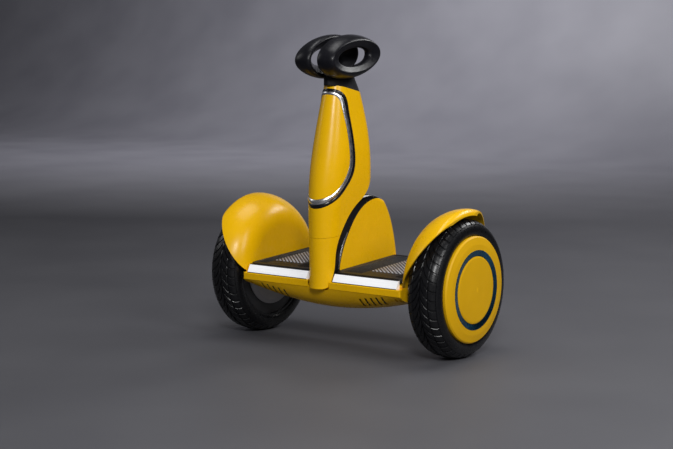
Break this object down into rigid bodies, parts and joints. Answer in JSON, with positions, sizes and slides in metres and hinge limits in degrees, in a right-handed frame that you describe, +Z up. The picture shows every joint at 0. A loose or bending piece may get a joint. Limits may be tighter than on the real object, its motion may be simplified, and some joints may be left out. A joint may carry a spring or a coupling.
{
  "type": "self-balancing two-wheel vehicle",
  "caption": "Two-wheel self-balancing rider with foot mats, fenders, a lean-to-steer column and a knee rest of looped pads.",
  "frame": {"origin": "on the ground midway between the wheels, under the wheels' axis", "axes": "+Z up, the vehicle's front towards -Y, the wheels' axis along X with the rider's left wheel at +X"},
  "size_m": [0.558, 0.2697, 0.6037],
  "materials": {
    "yellow_shell": "satin yellow moulding",
    "black_gloss": "polished black moulding",
    "bright_trim": "bright plated strip",
    "light_lens": "frosted white lens",
    "tail_lens": "frosted pale lens",
    "tyre_rubber": "black tread rubber",
    "mat_rubber": "black ribbed rubber",
    "pad_rubber": "soft-touch black skin",
    "soft_black": "matt black moulding",
    "blue_ring": "clear blue bevelled ring",
    "cast_alloy": "cast and machined",
    "dark_alloy": "cast, dark anodised",
    "bright_steel": "turned steel",
    "magnet": "plated magnets in a steel band",
    "laminations": "stacked steel sheets",
    "brass": "turned brass",
    "bearing_bronze": "sintered bronze",
    "battery_wrap": "shrink-wrapped pack",
    "board_green": "solder-masked board",
    "bump_rubber": "moulded rubber"
  },
  "bodies": {
    "chassis": {"chassis_frame": "cast_alloy", "lower_shell": "yellow_shell", "stand_insert": "brass", "upper_shell": "yellow_shell", "fender_left": "yellow_shell", "fender_right": "yellow_shell", "front_lights": "light_lens", "tail_lights": "tail_lens", "light_boards": "board_green", "hump_cover": "yellow_shell", "hump_band": "black_gloss", "hump_rails": "bright_trim", "axle_left": "bright_steel", "axle_right": "bright_steel", "stator_left": "laminations", "stator_right": "laminations", "axle_clamps": "cast_alloy", "clamp_screws": "bright_steel", "battery_pack": "battery_wrap", "control_board": "board_green", "heat_sink": "cast_alloy", "sensor_boards": "board_green", "charge_socket": "soft_black", "steering_housing": "cast_alloy", "steering_bushes": "bearing_bronze", "centring_rubber": "bump_rubber", "foot_sensors": "bump_rubber"},
    "wheel_left": {"tyre_left": "tyre_rubber", "wheel_rim_left": "dark_alloy", "magnet_ring_left": "magnet", "motor_cover_left": "dark_alloy", "wheel_bearings_left": "bright_steel", "hub_cover_left": "yellow_shell", "hub_ring_left": "blue_ring", "hub_cap_left": "yellow_shell", "valve_left": "brass"},
    "wheel_right": {"tyre_right": "tyre_rubber", "wheel_rim_right": "dark_alloy", "magnet_ring_right": "magnet", "motor_cover_right": "dark_alloy", "wheel_bearings_right": "bright_steel", "hub_cover_right": "yellow_shell", "hub_ring_right": "blue_ring", "hub_cap_right": "yellow_shell", "valve_right": "brass"},
    "column": {"column_foot": "yellow_shell", "column_shell": "yellow_shell", "column_panel": "yellow_shell", "column_trim": "bright_trim", "column_tube": "cast_alloy", "steering_shaft": "bright_steel"},
    "knee_rest": {"knee_neck": "soft_black", "knee_pad_left": "pad_rubber", "knee_pad_right": "pad_rubber", "knee_post": "bright_steel"},
    "foot_mat_left": {"foot_mat_left": "mat_rubber"},
    "foot_mat_right": {"foot_mat_right": "mat_rubber"},
    "power_button": {"power_button": "black_gloss"},
    "charge_cap": {"charge_cap": "bump_rubber"},
    "release_button": {"release_button": "soft_black"}
  },
  "joints": [
    {"name": "wheel_right_spin", "type": "hinge", "parent": "chassis", "child": "wheel_right", "pos_m": [0.236, 0, 0.131], "axis": [1, 0, 0], "continuous": true},
    {"name": "wheel_left_spin", "type": "hinge", "parent": "chassis", "child": "wheel_left", "pos_m": [-0.236, 0, 0.131], "axis": [1, 0, 0], "continuous": true},
    {"name": "column_lean", "type": "hinge", "parent": "chassis", "child": "column", "pos_m": [0, -0.1, 0.14], "axis": [0, 1, 0], "range_deg": [-10, 10], "stiffness_Nm_per_rad": 60},
    {"name": "knee_height", "type": "slide", "parent": "column", "child": "knee_rest", "axis": [0, 0.1616, 0.9869], "range_m": [0, 0.06]},
    {"name": "foot_mat_right_press", "type": "slide", "parent": "chassis", "child": "foot_mat_right", "axis": [0, 0, -1], "range_m": [0, 0.0013], "stiffness_N_per_m": 20000, "springref_m": -0.0003},
    {"name": "foot_mat_left_press", "type": "slide", "parent": "chassis", "child": "foot_mat_left", "axis": [0, 0, -1], "range_m": [0, 0.0013], "stiffness_N_per_m": 20000, "springref_m": -0.0003},
    {"name": "power_button_press", "type": "slide", "parent": "chassis", "child": "power_button", "axis": [0, -1, 0], "range_m": [0, 0.0015], "stiffness_N_per_m": 800, "springref_m": -0.0005},
    {"name": "charge_cap_swing", "type": "hinge", "parent": "chassis", "child": "charge_cap", "pos_m": [-0.015, 0.1206, 0.1451], "axis": [1, 0, 0], "range_deg": [0, 100]},
    {"name": "release_button_press", "type": "slide", "parent": "column", "child": "release_button", "axis": [0, -1, 0], "range_m": [0, 0.002], "stiffness_N_per_m": 600, "springref_m": -0.0005}
  ]
}
